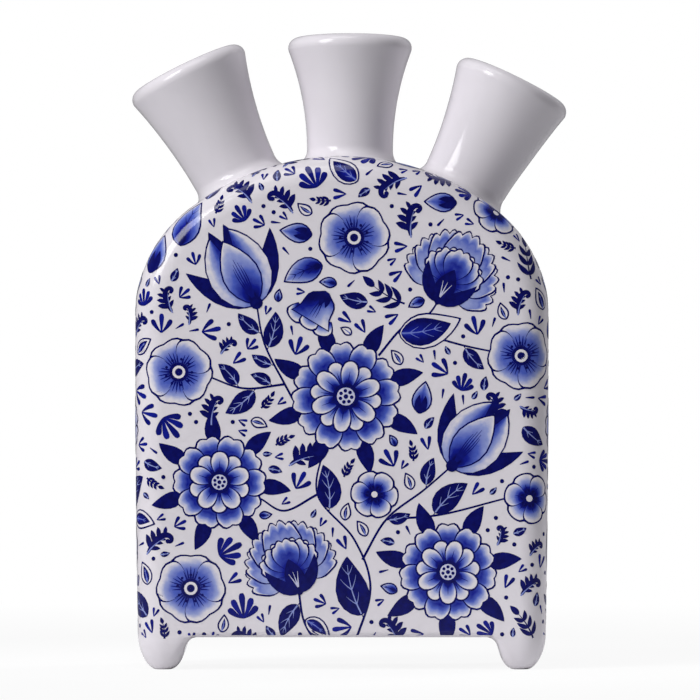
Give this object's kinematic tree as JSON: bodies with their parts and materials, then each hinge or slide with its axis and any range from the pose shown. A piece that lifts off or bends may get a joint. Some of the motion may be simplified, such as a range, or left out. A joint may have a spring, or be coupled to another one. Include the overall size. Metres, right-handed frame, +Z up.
{
  "type": "tulipiere",
  "caption": "Flat arched ceramic tulip vase with flared spouts fanned over its crown and small corner feet, for holding cut flower stems in water.",
  "frame": {"origin": "on the axis of the middle spout, in the plane that the feet rest on", "axes": "+X to the right as seen from the front, -Y out of the front face, +Z up along the middle spout"},
  "size_m": [0.109, 0.045, 0.1572],
  "materials": {
    "white_glaze": "clear gloss glaze over a white body",
    "cobalt_print": "cobalt blue print under a clear gloss glaze"
  },
  "bodies": {
    "root": {"front_shell": "white_glaze", "back_shell": "white_glaze", "left_spout": "white_glaze", "middle_spout": "white_glaze", "right_spout": "white_glaze", "front_left_foot": "white_glaze", "front_right_foot": "white_glaze", "back_left_foot": "white_glaze", "back_right_foot": "white_glaze"}
  },
  "joints": []
}
